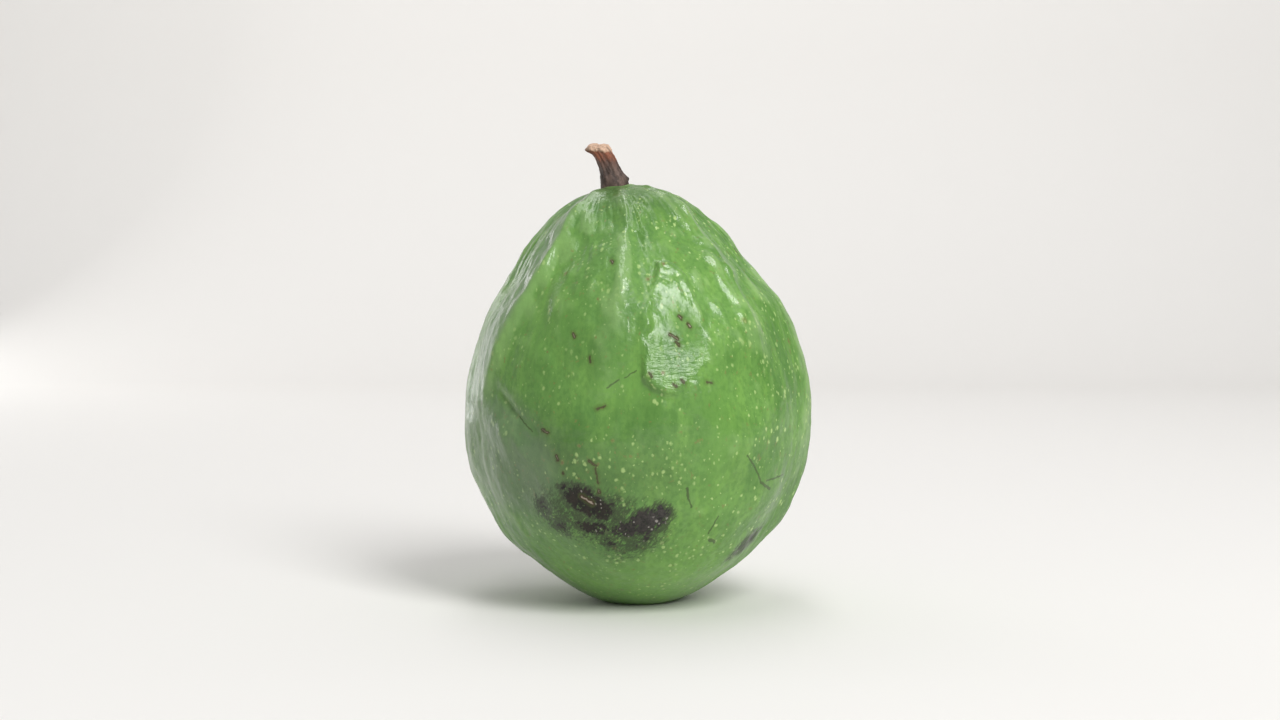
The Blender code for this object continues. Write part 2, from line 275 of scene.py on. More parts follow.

# Dark bruises: at and z place each one, wide and tall are half sizes, turn is clockwise,
# ash is how grey it has dried. The first two are dusky skin round the others, partly
# bruised skin and partly painted shadow
bruises = table(
    "at z wide tall turn dark ash",
    (-14.0, 0.0285, 0.0200, 0.0080, 10, 0.37, 0.1),
    (0.0, 0.0235, 0.0110, 0.0060, -20, 0.34, 0.3),
    (-19.2, 0.0340, 0.0042, 0.0029, 28, 1.95, 0.0),
    (-14.6, 0.0314, 0.0044, 0.0026, 24, 1.65, 0.0),
    (-24.2, 0.0370, 0.0024, 0.0012, 10, 0.80, 0.2),
    (-8.4, 0.0324, 0.0022, 0.0015, 40, 0.55, 0.3),
    (-16.0, 0.0260, 0.0044, 0.0018, 5, 1.05, 0.1),
    (-22.0, 0.0274, 0.0030, 0.0015, 15, 0.58, 0.1),
    (-11.2, 0.0222, 0.0026, 0.0013, 10, 0.86, 0.1),
    (-3.8, 0.0258, 0.0050, 0.0025, -8, 1.10, 0.6),
    (3.2, 0.0275, 0.0056, 0.0032, -16, 1.50, 1.0),
    (7.4, 0.0293, 0.0032, 0.0027, -30, 1.25, 1.0),
    (2.6, 0.0228, 0.0060, 0.0017, -40, 0.60, 0.5),
    (-34.5, 0.0312, 0.0038, 0.0032, 35, 0.52, 0.6),
    (-28.8, 0.0262, 0.0042, 0.0026, 20, 0.54, 0.4),
    (53.8, 0.0192, 0.0058, 0.0026, -38, 0.56, 1.0),
    (158, 0.0380, 0.0060, 0.0040, 25, 0.85, 0.6),
    (-128, 0.0300, 0.0050, 0.0030, -15, 0.70, 0.3),
)


def pearSurface(direction):
    # two half ellipsoids that meet at the belly, with pinched shoulders and a pinched bottom.
    # the crown tilts and leans to the left, so that the pole is where the stem stands
    tilt = math.radians(fruit["crownTilt"]) * ((1 + direction[..., 2]) / 2) ** 3
    cos, sin = np.cos(tilt), np.sin(tilt)
    x = direction[..., 0] * cos - direction[..., 2] * sin
    y = direction[..., 1]
    up = direction[..., 0] * sin + direction[..., 2] * cos
    belly, halfWide, halfDeep = fruit["bellyHeight"], fruit["width"] / 2, fruit["depth"] / 2
    span = np.where(up > 0, fruit["height"] - belly, belly + fruit["restSink"])
    z = belly + span * up
    girth = 1 - fruit["neckPinch"] * bell(z, fruit["neckHeight"], fruit["neckSpread"])
    girth -= fruit["basePinch"] * bell(z, 0, fruit["baseSpread"])
    lean = fruit["crownLean"] * smoothStep(belly, fruit["height"], z)
    points = np.stack((x * girth * halfWide - lean, y * girth * halfDeep, z), axis=-1)
    normal = np.stack((x / halfWide, y / halfDeep, up / span), axis=-1)
    return points, normal / np.linalg.norm(normal, axis=-1, keepdims=True)


def ribRelief(angle, z, radius, rib):
    # a bell across the rib's line, which runs between two angles and fades at both ends
    along = np.clip((z - rib["from"]) / (rib["to"] - rib["from"]), 0, 1)
    line = rib["low"] + (rib["top"] - rib["low"]) * along
    across = np.radians(angleApart(angle, line)) * radius
    width = rib["width"] * (0.5 + radius / fruit["width"])
    faded = smoothStep(0, 0.35, along) * smoothStep(stem["footRadius"], fruit["ribStart"], radius)
    return rib["crest"] * faded * bell(across, 0, width)


def foldRelief(angle, z, radius, fold):
    # a bell round a line: the nearest point of the line is a clamped share of its length, and
    # both of its ends fade out
    across, up = np.radians(angleApart(angle, fold["fromAngle"])) * radius, z - fold["fromZ"]
    lineAcross = math.radians(fold["toAngle"] - fold["fromAngle"]) * radius
    lineUp = fold["toZ"] - fold["fromZ"]
    share = (across * lineAcross + up * lineUp) / (lineAcross**2 + lineUp**2)
    share = np.clip(share, 0, 1)
    away = np.hypot(across - share * lineAcross, up - share * lineUp)
    return fold["crest"] * bell(away, 0, fold["width"]) * (0.4 + 0.6 * np.sin(math.pi * share))


def ovalShare(angle, z, radius, spot):
    # 1 in the middle of a turned oval, falling off as a bell
    across = np.radians(angleApart(angle, spot["at"])) * radius
    up = z - spot["z"]
    cos, sin = math.cos(math.radians(spot["turn"])), math.sin(math.radians(spot["turn"]))
    lengthwise = (across * cos - up * sin) / spot["wide"]
    crosswise = (across * sin + up * cos) / spot["tall"]
    return np.exp(-(lengthwise**2) - crosswise**2)


def paintedFlankSheenShare(angle, z):
    # the flank's painted sheen: an S-curve on each side of a band along the left crest's line
    paintedFlankSheen = fruit["paintedFlankSheen"]
    along = np.clip((z - paintedFlankSheen["from"]) / (paintedFlankSheen["to"] - paintedFlankSheen["from"]), 0, 1)
    left = -angleApart(angle, paintedFlankSheen["low"] + (paintedFlankSheen["top"] - paintedFlankSheen["low"]) * along)
    band = smoothStep(*paintedFlankSheen["near"], left) * smoothStep(*paintedFlankSheen["far"], left)
    ends = smoothStep(*paintedFlankSheen["start"], along) * smoothStep(*paintedFlankSheen["end"], z)
    return paintedFlankSheen["full"] * band * ends


def swellRelief(points):
    # slow uneven growth: the sum of seeded waves that cross the fruit
    draw = np.random.default_rng(fruit["seed"])
    total = np.zeros(points.shape[:-1])
    for _ in range(fruit["swells"]):
        heading = draw.normal(size=3)
        heading /= np.linalg.norm(heading)
        length = draw.uniform(fruit["swellShortest"], fruit["swellLongest"])
        phase = draw.uniform(0, 2 * math.pi)
        total += np.sin(points @ heading * 2 * math.pi / length + phase)
    return total * fruit["swellHeight"]


def backRibs():
    # ribs of the far side, at even steps with a seeded shift
    rule = fruit["backRibs"]
    draw = np.random.default_rng(fruit["seed"])
    start, end = rule["side"]
    step = (end - start) / rule["count"]
    for index in range(rule["count"]):
        top = start + step * (index + 0.5) + draw.uniform(*rule["shift"])
        low = top + draw.uniform(*rule["lean"])
        sizes = {name: draw.uniform(*rule[name]) for name in ("from", "to", "crest", "width")}
        yield {"top": top, "low": low, **sizes}


def grownRelief(direction, points):
    # the relief that the solid has too: swells, ribs and hollows, none at the flat spot
    angle = np.degrees(np.arctan2(direction[..., 0], -direction[..., 1]))
    z = points[..., 2]
    radius = np.hypot(direction[..., 0], direction[..., 1]) * fruit["width"] / 2
    relief = swellRelief(points)
    for rib in (*fruit["ribs"], *backRibs()):
        relief += ribRelief(angle, z, radius, rib)
    for hollow in fruit["hollows"]:
        relief -= hollow["deep"] * ovalShare(angle, z, radius, hollow)
    return relief * smoothStep(*fruit["reliefFrom"], z)


def grown(growth, u, v):
    # a growth's height times a noise on its cells, which lean over by its slant if it has one
    turned = u + growth.get("slant", 0) * v
    return growth["high"] * cellNoise(turned, v, *growth["cells"], growth["seed"])


def facetShare(u, v, points):
    # 1 inside the facet and 0 outside: the product of an S-curve across each of its sides,
    # whose distance wavers with noise
    across = (points[..., 0] - facet["middle"][0]) * 1000
    up = (points[..., 2] - facet["middle"][2]) * 1000
    waver = grown(facet["ragged"], u, v)
    share = np.where(points[..., 1] < 0, 1.0, 0.0)
    for turn, away in facet["sides"]:
        out = across * math.cos(math.radians(turn)) + up * math.sin(math.radians(turn)) + waver
        share = share * smoothStep(away + facet["soft"], away - facet["soft"], out)
    return share


def facetRelief(points, normal):
    # how far a point moves along its normal to lie on the dome: in the dome's own frame, its
    # height is minus the sunk depth and minus the square of each distance over twice its radius
    faces, rises = (math.radians(angle) for angle in facet["faces"])
    level = math.cos(rises)
    out = np.array((math.sin(faces) * level, -math.cos(faces) * level, math.sin(rises)))
    right = np.array((math.cos(faces), math.sin(faces), 0))
    up = np.cross(right, -out)
    away = points - facet["middle"]
    a, b, height = away @ right, away @ up, away @ out
    dome = -facet["sunk"] - a**2 / (2 * facet["domeAcross"]) - b**2 / (2 * facet["domeUp"])
    return (dome - height) / np.maximum(normal @ out, 0.5)  # no far reach where the skin turns away


def fineRelief(u, v, angle, z, radius, flat):
    # the sum of the growths: wrinkles are deeper and knobs higher on the shoulders, and creases
    # keep to the left flank. All fade out at the flat spot and round the stem and are calmer on
    # the facet, which has crinkles of its own
    growth = {look["name"]: grown(look, u, v) for look in fruit["growth"]}
    shoulders = smoothStep(*fruit["shoulders"], z)
    flank = fruit["flank"]
    onFlank = bell(angleApart(angle, flank["at"]), 0, flank["wide"]) * smoothStep(*flank["below"], z)
    relief = growth["pebbles"] + growth["smallPebbles"] + growth["knobs"] * shoulders
    relief += growth["wrinkles"] * (0.35 + 0.65 * shoulders)
    relief = relief * (1 - facet["calm"] * flat) + growth["creases"] * onFlank
    faded = smoothStep(*fruit["growthFrom"], z) * smoothStep(*fruit["growthOut"], radius)
    crinkles = growth["crinkles"] + growth["smallCrinkles"]
    pressed = flat * crinkles * (0.5 + 0.5 * smoothStep(*facet["crinkled"], z))
    return relief * faded + pressed


def seatRelief(u, v, radius):
    # round the stem: a bell down where skin meets bark, a bell up for the low collar, which a
    # noise makes uneven, and an S-curve down under the foot
    crease, collar = fruit["crease"], fruit["collar"]
    out = radius - stem["footRadius"]
    relief = crease["high"] * bell(out, crease["out"], crease["wide"])
    uneven = 1 + grown(fruit["unevenCollar"], u, v)
    relief += collar["high"] * bell(out, collar["out"], collar["wide"]) * uneven
    return relief - fruit["dip"] * (1 - smoothStep(*fruit["dipOut"], out))


def makeFruit():
    # the smooth pear on a net of u, the share of the way round, and v, the share of the way from
    # crown to bottom. Each point moves along its normal by the relief, or inside the facet to
    # its dome, and then by the fine growth
    polar = np.radians(np.concatenate((
        np.linspace(fruit["seatFrom"], fruit["seatTo"], fruit["seatRings"]),
        np.linspace(fruit["seatTo"], fruit["lastRing"], fruit["along"] + 1)[1:],
    )))
    share = (np.arange(fruit["around"]) + 0.5) / fruit["around"]
    v, u = np.meshgrid(polar / math.pi, share, indexing="ij")
    alpha, theta = v * math.pi, 2 * math.pi * (u - 0.5)
    direction = np.stack(
        (np.sin(alpha) * np.sin(theta), -np.sin(alpha) * np.cos(theta), np.cos(alpha)), axis=-1
    )
    pear, normal = pearSurface(direction)
    angle = np.degrees(theta)
    radius = np.sin(alpha) * fruit["width"] / 2
    z = pear[..., 2]
    relief = grownRelief(direction, pear)
    broken = fruit["ribBreaks"]["mean"] + grown(fruit["ribBreaks"], u, v)
    relief += sum(ribRelief(angle, z, radius, rib) for rib in fruit["keenRibs"]) * broken
    relief += sum(foldRelief(angle, z, radius, fold) for fold in fruit["folds"])
    flat = facetShare(u, v, pear)
    dented = sum(dent["deep"] * ovalShare(angle, z, radius, dent) for dent in facet["dents"])
    relief = relief * (1 - flat) + (facetRelief(pear, normal) - dented) * flat
    fine = fineRelief(u, v, angle, z, radius, flat) + seatRelief(u, v, radius)
    points = pear + normal * (relief + fine)[..., None]
    points[..., 2] = np.maximum(points[..., 2], 0)  # the flat spot

    crown, up = pearSurface(np.array([[0.0, 0.0, 1.0]]))
    swell = swellRelief(crown)[0]
    pole = crown[0] + up[0] * (swell - fruit["dip"])
    piece = closedSkin("fruitSkin", points, pole, (0.0, 0.0, 0.0), share, polar / math.pi)
    markSkin(piece, angle, z, radius, fine, flat)
    return piece, Vector(crown[0] + up[0] * swell)


# The wax on the skin, from 0 to 1: an even share, more where ribs and facet are rubbed bright, less
# where it is worn. A worn place lies between S-curves over pairs of angles and heights, or in a
# belt, which is a bell round a height
wax = {
    "even": 0.50, "onRibs": 0.48, "onFacet": 0.15,
    "ribHeight": 0.0005,  # a rib counts in full from this height on
    "ribsFrom": (-32, -24), "ribsTo": (28, 38), "lessPast": 0.8,  # where ribs are rubbed
    "dent": 0.70,  # loss in the facet's first dent
    "wornCrown": (  # between the ribs alone
        {"loss": 0.38, "angles": ((2, -8),), "heights": (0.103, 0.112)},
        {"loss": 0.25, "angles": ((-8, 2),), "heights": (0.110, 0.117)},
    ),
    "wornSides": (
        {"loss": 0.36, "angles": ((50, 70),)},
        {"loss": 0.20, "angles": ((-48, -56), (-120, -95)), "belt": (0.077, 0.014)},
        {"loss": 0.12, "angles": ((24, 34), (70, 50)), "heights": (0.070, 0.085)},
    ),
    "wornFacet": (
        {"loss": 0.20, "angles": (), "heights": (0.080, 0.074)},
        {"loss": 0.14, "angles": (), "belt": (0.0800, 0.0055)},
    ),
}


def wornShare(angle, z, places):
    # the sum over the places of their loss times the product of their curves
    total = np.zeros_like(z)
    for place in places:
        share = np.full_like(z, place["loss"])
        for pair in place["angles"]:
            share *= smoothStep(*pair, angle)
        if "heights" in place:
            share *= smoothStep(*place["heights"], z)
        if "belt" in place:
            share *= bell(z, *place["belt"])
        total += share
    return total


def waxShare(angle, z, radius, ribbed, flat):
    # the even share and the rubbed ribs, less the worn places, and the facet's own share, which
    # has worn places too
    onRib = np.clip(ribbed / wax["ribHeight"], 0, 1)
    rubbed = wax["onRibs"] * onRib * (1 - flat) * smoothStep(*wax["ribsFrom"], angle)
    rubbed *= 1 - wax["lessPast"] * smoothStep(*wax["ribsTo"], angle)
    worn = wornShare(angle, z, wax["wornCrown"]) * (1 - onRib) + wornShare(angle, z, wax["wornSides"])
    dull = wax["dent"] * ovalShare(angle, z, radius, facet["dents"][0])
    dull += wornShare(angle, z, wax["wornFacet"])
    return wax["even"] + rubbed - worn + flat * (wax["onFacet"] - dull)


def markSkin(piece, angle, z, radius, fine, flat):
    # the numbers that the skin's material reads: where each mark, finish and painted light or shade is,
    # and how strong
    shares = [ovalShare(angle, z, radius, spot) for spot in bruises]
    darkest = np.max([spot["dark"] * share for spot, share in zip(bruises, shares)], axis=0)
    ashen = sum(spot["ash"] * share for spot, share in zip(bruises, shares))
    ashen /= sum(shares) + 0.001  # never by 0
    ribbed = sum(ribRelief(angle, z, radius, rib) for rib in (*fruit["ribs"], *backRibs()))
    seatFrom, seatTo = fruit["seatOut"]
    sun = fruit["sunny"]
    sunny = smoothStep(*sun["side"], angleApart(angle, sun["middle"]))
    sunny *= 1 - smoothStep(*sun["back"], np.abs(angle))
    bloom = smoothStep(*fruit["paintedSheenEdge"], ovalShare(angle, z, radius, fruit["bloom"]))
    fields = {
        "bruise": darkest,
        "ash": ashen,
        # ribs and growth in relief, lightened in the colour as a painted highlight
        "crest": ribbed * 1000 + fine * 3000,  # in millimetres, the fine growth three times over
        "shoulder": smoothStep(*fruit["tallFlecks"], z),
        "seat": smoothStep(stem["footRadius"] + seatFrom, stem["footRadius"] + seatTo, radius),
        "facet": flat,
        "wax": waxShare(angle, z, radius, ribbed, flat),
        "wrinkled": flat * smoothStep(*facet["wrinkled"], z),
        # more flecks on the sunny side; the far side gets painted shade from it too
        "flecked": 0.65 + 0.35 * sunny,
        # the larger of the low oval's and the flank band's painted sheen
        "bloom": np.maximum(bloom, paintedFlankSheenShare(angle, z)),
        # painted light and shade, from the spots above
        "shade": sum(spot["deep"] * ovalShare(angle, z, radius, spot) for spot in fruit["shades"]),
    }
    for name, values in fields.items():
        addField(piece, name, values)


# The stem: a leaning stub with a knob at its foot and a torn, paler top. Angles round it are
# counted from the right

stem = {
    "rise": 0.0112, "lean": 0.0047, "sunk": 0.0030,
    "footRadius": 0.0041, "waistRadius": 0.0029, "topRadius": 0.0027,
    "around": 128, "along": 130, "capRings": 12,
    "barkFrom": (0.0006, 0.0022),  # the bark's relief rises between these heights
    "footSpread": 0.28, "topFrom": 0.7,  # shares of the rise where foot and top change the radius
    "bend": 1.35,  # power of the rise that the lean grows with
    "furrows": table(  # waves round the stem; twist: radians for each metre up
        "high waves twist start",
        (0.00016, 5, 0, 0.6),
        (0.00010, 11, 300, 0),
    ),
    "cracks": {"high": 0.00009, "cells": (40, 14), "seed": 21},
    "fineCracks": {"high": 0.00005, "cells": (64, 60), "seed": 22},
    "knob": {"high": 0.0009, "at": -8, "wide": 26, "z": 0.0016, "tall": 0.0011},
    "lip": {"high": 0.0017, "at": 184, "wide": 34, "z": 0.0099, "tall": 0.0011},
    "bulge": {"high": 0.0003, "at": 0.93, "wide": 0.07},  # in shares of the rise
    "slant": 0.0008,  # how much lower the front of the torn top is than its middle
    "torn": {"high": 0.00030, "cells": (13, 1), "seed": 23}, "tornFrom": 0.72,
    "dome": 0.0003,  # how far the middle of the torn top stands up
    "capShare": 1.1,  # the cap's share of the rise, as its bark fades into torn wood
    "fibres": {"high": 0.00020, "cells": (22, 3), "seed": 24},
}


def lumpRelief(degrees, height, lump):
    # a bell round the stem times a bell up it
    around = bell(angleApart(degrees, lump["at"]), 0, lump["wide"])
    return lump["high"] * around * bell(height, lump["z"], lump["tall"])


def makeStem(crown):
    # a round profile carried along the leaning line: radius and shift are functions of the height,
    # and furrows, cracks and lumps stand on the radius
    share = (np.arange(stem["around"]) + 0.5) / stem["around"]
    height = np.linspace(-stem["sunk"], stem["rise"], stem["along"])
    risen = np.maximum(height, 0) / stem["rise"]
    foot, waist, top = stem["footRadius"], stem["waistRadius"], stem["topRadius"]
    radius = waist + (foot - waist) * bell(risen, 0, stem["footSpread"])
    radius += (top - waist) * smoothStep(stem["topFrom"], 1, risen)
    shift = stem["lean"] * risen ** stem["bend"]
    rows, u = np.meshgrid(np.arange(len(height)), share, indexing="ij")
    angle = 2 * math.pi * u
    degrees = np.degrees(angle)
    h, r, lift = height[rows], radius[rows], risen[rows]
    v = rows / (len(height) - 1)
    furrows = sum(
        wave["high"] * np.sin(wave["waves"] * angle + wave["twist"] * h + wave["start"])
        for wave in stem["furrows"]
    )
    ridges = furrows + grown(stem["cracks"], u, v) + grown(stem["fineCracks"], u, v)
    lumps = lumpRelief(degrees, h, stem["knob"]) + lumpRelief(degrees, h, stem["lip"])
    lumps += stem["bulge"]["high"] * bell(lift, stem["bulge"]["at"], stem["bulge"]["wide"])
    outward = r + smoothStep(*stem["barkFrom"], h) * (ridges + lumps)
    torn = grown(stem["torn"], u, np.zeros_like(u)) + stem["slant"] * np.sin(angle)
    torn *= smoothStep(stem["tornFrom"], 1, lift)
    points = np.stack(
        (outward * np.cos(angle) - shift[rows], outward * np.sin(angle), h + torn), axis=-1
    )
    # the cap: rings that shrink to the middle of the torn top, with fibres standing up
    shrink = np.cos(np.linspace(0, math.pi / 2, stem["capRings"] + 1)[1:-1])
    middle = points[-1].mean(axis=0)
    capV, capU = np.meshgrid(shrink, share, indexing="ij")
    fibres = grown(stem["fibres"], capU, capV)
    cap = middle + (points[-1] - middle) * shrink[:, None, None]
    cap[..., 2] += stem["dome"] * np.sin(np.arccos(capV)) + fibres
    # the net starts at the foot, so it runs the other way round for its faces to look out
    net = (np.concatenate((points, cap)) + np.array(crown))[:, ::-1]
    lowPole = np.array(crown) + (0, 0, -stem["sunk"])
    highPole = middle + np.array(crown) + (0, 0, stem["dome"])
    piece = closedSkin("stemBark", net, lowPole, highPole, share, np.linspace(0.02, 0.98, len(net)))
    capRise = np.full(capU.shape, stem["capShare"])
    addField(piece, "rise", np.concatenate((lift, capRise))[:, ::-1])
    addField(piece, "ridge", np.concatenate((ridges, fibres))[:, ::-1] * 4000)  # 1 is 0.25 mm
    return piece


fruitSkin, crown = makeFruit()
print("fruit skin:", len(fruitSkin.data.polygons), "faces")
stemBark = makeStem(crown)
print("stem:", len(stemBark.data.polygons), "faces")


# Helpers for materials

def linear(hexColour):
    # an sRGB hex colour as linear red, green, blue and alpha
    parts = [int(hexColour[i:i + 2], 16) / 255 for i in (1, 3, 5)]
    return (*(p / 12.92 if p <= 0.04045 else ((p + 0.055) / 1.055) ** 2.4 for p in parts), 1.0)


def addNode(tree, kind, *inputs, **settings):
    # one node with its settings and links. inputs fill its sockets in order, and each is a
    # value, a node or one of its outputs; a setting with a socket's name fills that socket
    node = tree.nodes.new("ShaderNode" + kind)
    named = [name for name in settings if name in node.inputs]
    for name in settings.keys() - set(named):
        setattr(node, name, settings[name])
    sockets = [socket for socket in node.inputs if socket.enabled]
    pairs = [*zip(sockets, inputs), *((node.inputs[name], settings[name]) for name in named)]
    for socket, value in pairs:
        if isinstance(value, bpy.types.Node):
            value = next(output for output in value.outputs if output.enabled)
        if isinstance(value, bpy.types.NodeSocket):
            tree.links.new(value, socket)
        elif value is not None:
            socket.default_value = value
    return node


def addPatterns(add, place, looks):
    # a cloudy noise for each look: cells mm wide and tall times as high, leaning over to the right
    # by lean degrees. Each starts at another place, so that no two agree
    patterns = {}
    for order, (name, look) in enumerate(looks.items()):
        start, lean = 0.37 * order, math.radians(look.get("lean", 0))
        turned = add(
            "Mapping", place, (start, start, start), (0, lean, 0), (1, 1, look.get("tall", 1)),
            vector_type="TEXTURE",
        )
        patterns[name] = add(
            "TexNoise", turned, 1000 / look["mm"], look.get("detail", 3.0), look.get("rough", 0.55),
            Distortion=look.get("distort", 0.0),
        ).outputs["Fac"]
    return patterns


def newMaterial(name):
    # a material, its shader, and addNode for its tree
    material = bpy.data.materials.new(name)
    material.use_nodes = True
    tree = material.node_tree
    return material, tree.nodes["Principled BSDF"], functools.partial(addNode, tree)


smooth = {"interpolation_type": "SMOOTHSTEP"}  # for a map range
rgba = {"data_type": "RGBA"}  # for a mix of two colours
times, plus, minus = {"operation": "MULTIPLY"}, {"operation": "ADD"}, {"operation": "SUBTRACT"}

# Small marks on the skin: a line from one point to another, in degrees round and millimetres up,
# with its half width in millimetres. Close ends make a round scab
scabs = (
    (-6.4, 97.1, -6.0, 96.8, 0.50),
    (-20.6, 77.8, -20.0, 76.9, 0.42),
    (-14.6, 71.6, -14.4, 70.4, 0.28),
    (-30.8, 52.2, -28.8, 51.7, 0.42),
    (-26.0, 45.6, -25.8, 44.4, 0.42),
    (-24.4, 41.0, -24.2, 40.6, 0.26),
    (-15.2, 44.4, -13.2, 43.2, 0.34),
    (-13.4, 42.5, -12.9, 38.4, 0.20),
    (-13.0, 36.4, -12.9, 35.8, 0.42),
    (-18.8, 34.6, -15.6, 32.8, 0.62),
    (-12.8, 58.2, -10.2, 58.8, 0.26),
    (17.4, 82.3, 17.8, 81.9, 0.50),
    (20.0, 80.2, 20.4, 79.8, 0.58),
    (12.6, 77.6, 15.0, 76.4, 0.46),
    (14.4, 75.6, 15.2, 74.6, 0.36),
    (4.4, 67.4, 4.8, 66.6, 0.34),
    (11.6, 64.4, 12.2, 64.0, 0.36),
    (14.4, 65.5, 14.9, 65.1, 0.34),
    (22.6, 65.0, 24.4, 64.9, 0.22),
    (74.0, 100.6, 75.2, 99.2, 0.60),
    (-104.0, 66.0, -101.5, 62.0, 0.30),
    (128.0, 74.0, 131.0, 71.5, 0.35),
    (-152.0, 88.0, -150.6, 86.8, 0.55),
)
scratches = (
    (36.2, 45.3, 41.0, 41.5, 0.10),
    (41.0, 41.5, 45.0, 37.2, 0.16),
    (45.0, 37.2, 50.5, 35.1, 0.24),
    (47.6, 37.6, 57.9, 38.7, 0.14),
    (29.8, 28.6, 28.0, 23.6, 0.13),
    (16.4, 36.8, 17.2, 34.2, 0.22),
    (17.2, 34.2, 18.8, 31.6, 0.12),
    (29.6, 21.8, 32.8, 21.0, 0.34),
    (-9.4, 63.6, -5.4, 65.8, 0.06),
    (-3.6, 66.3, 0.2, 68.2, 0.05),
    (-41.0, 55.3, -35.0, 51.6, 0.08),
    (171.0, 52.0, 176.0, 47.0, 0.15),
    (176.0, 47.0, 178.0, 40.0, 0.12),
)


def markDistance(add, place, marks):
    # millimetres to the nearest mark: along each line the closest point is a clamped share of it
    mmPerDegree = math.pi * fruit["width"] * 1000 / 360
    nearest = None
    for fromAngle, fromUp, toAngle, toUp, half in marks:
        start = Vector((fromAngle * mmPerDegree, fromUp, 0))
        line = Vector((toAngle * mmPerDegree, toUp, 0)) - start
        away = add("VectorMath", place, start, **minus)
        share = add("VectorMath", away, line / line.length_squared, operation="DOT_PRODUCT")
        share = add("Math", share.outputs["Value"], 0.0, use_clamp=True, **plus)
        foot = add("VectorMath", line, share, operation="SCALE")
        gap = add("VectorMath", away, foot, operation="DISTANCE").outputs["Value"]
        gap = add("Math", gap, half, **minus)
        nearest = gap if nearest is None else add("Math", nearest, gap, operation="MINIMUM")
    return nearest


# The skin's patterns: cells in millimetres, tall is how many times higher than wide they are
skinPatterns = {
    "clouds": {"mm": 26, "detail": 2},
    "streaks": {"mm": 4.2, "tall": 4.5},
    "mottle": {"mm": 1.2, "tall": 1.4, "detail": 4},
    "bands": {"mm": 8, "tall": 1.6, "detail": 3},
    "rust": {"mm": 1.5, "tall": 1.3, "detail": 4, "rough": 0.65},
    "torn": {"mm": 2.4, "detail": 5, "rough": 0.75},
    "feathers": {"mm": 0.6, "tall": 6, "lean": 34, "rough": 0.65},
    "grain": {"mm": 0.7, "detail": 4, "rough": 0.7},
    "wear": {"mm": 6},
    "pores": {"mm": 0.9},
    "upright": {"mm": 1.6, "tall": 6},
    "level": {"mm": 3.6, "tall": 0.26, "distort": 0.6},
    "lumps": {"mm": 4, "detail": 2},
}

# Flecks are breathing pores of the skin. cell is the size of the cells that hold one each, radius
# the largest radius, both in millimetres, share the part of the cells that do hold one, and start
# shifts the cells. Low flecks are on the belly, high ones on the shoulders
skinFlecks = {
    "low": {"cell": 2.1, "radius": 0.64, "share": 0.92, "tall": 1.3, "start": 0.0},
    "high": {"cell": 2.0, "radius": 0.58, "share": 0.82, "tall": 2.4, "start": 0.4},
    "fine": {"cell": 1.25, "radius": 0.42, "share": 0.80, "tall": 1.5, "start": 0.9},
    "corky": {"cell": 4.4, "radius": 1.9, "share": 0.40, "tall": 1.3, "start": 0.2},
}


def fleckSpots(add, place, bands, look, size=1.0):
    # round spots in Voronoi cells: each cell's random colour says how large its fleck is, and
    # more cells hold one where the bands are bright
    start, cell = look["start"], look["cell"]
    spot = add("Mapping", place, (start, start, start), None, (1, 1, look["tall"]), vector_type="TEXTURE")
    cells = add("TexVoronoi", spot, 1000 / cell, feature="F1")
    random = add("SeparateColor", cells.outputs["Color"])
    here = add("MapRange", bands, 0.32, 0.66, 0.25 * look["share"], 1.3 * look["share"])
    wide = add("MapRange", add("Math", here, random, **minus), 0.0, 0.75)
    wide = add("Math", wide, look["radius"] * size / cell, **times)
    wide = add("Math", wide, 0.0001, **plus)
    near = add("Math", cells.outputs["Distance"], wide, operation="DIVIDE")
    return add("MapRange", near, 0.45, 1.15, 1.0, 0.0, **smooth)


def unrolled(add, place):
    # the place on the unrolled skin: millimetres round from the front, and up
    across = add("Math", add("SeparateXYZ", add("UVMap", uv_map="sleeve")), 0.5, **minus)
    across = add("Math", across, math.pi * fruit["width"] * 1000, **times)
    up = add("Math", add("SeparateXYZ", place).outputs["Z"], 1000.0, **times)
    return add("CombineXYZ", across, up)


def layered(add, colour, layers):
    # colours laid over each other. Each layer says what it follows, the values between which it
    # comes in (none where it is a share already), how strong it is, and its colour
    for share, ends, strength, tint in layers:
        share = add("MapRange", share, *ends, **smooth) if ends else share
        tint = linear(tint) if isinstance(tint, str) else tint
        colour = add("Mix", add("Math", share, strength, **times), colour, tint, **rgba)
    return colour.outputs[2]


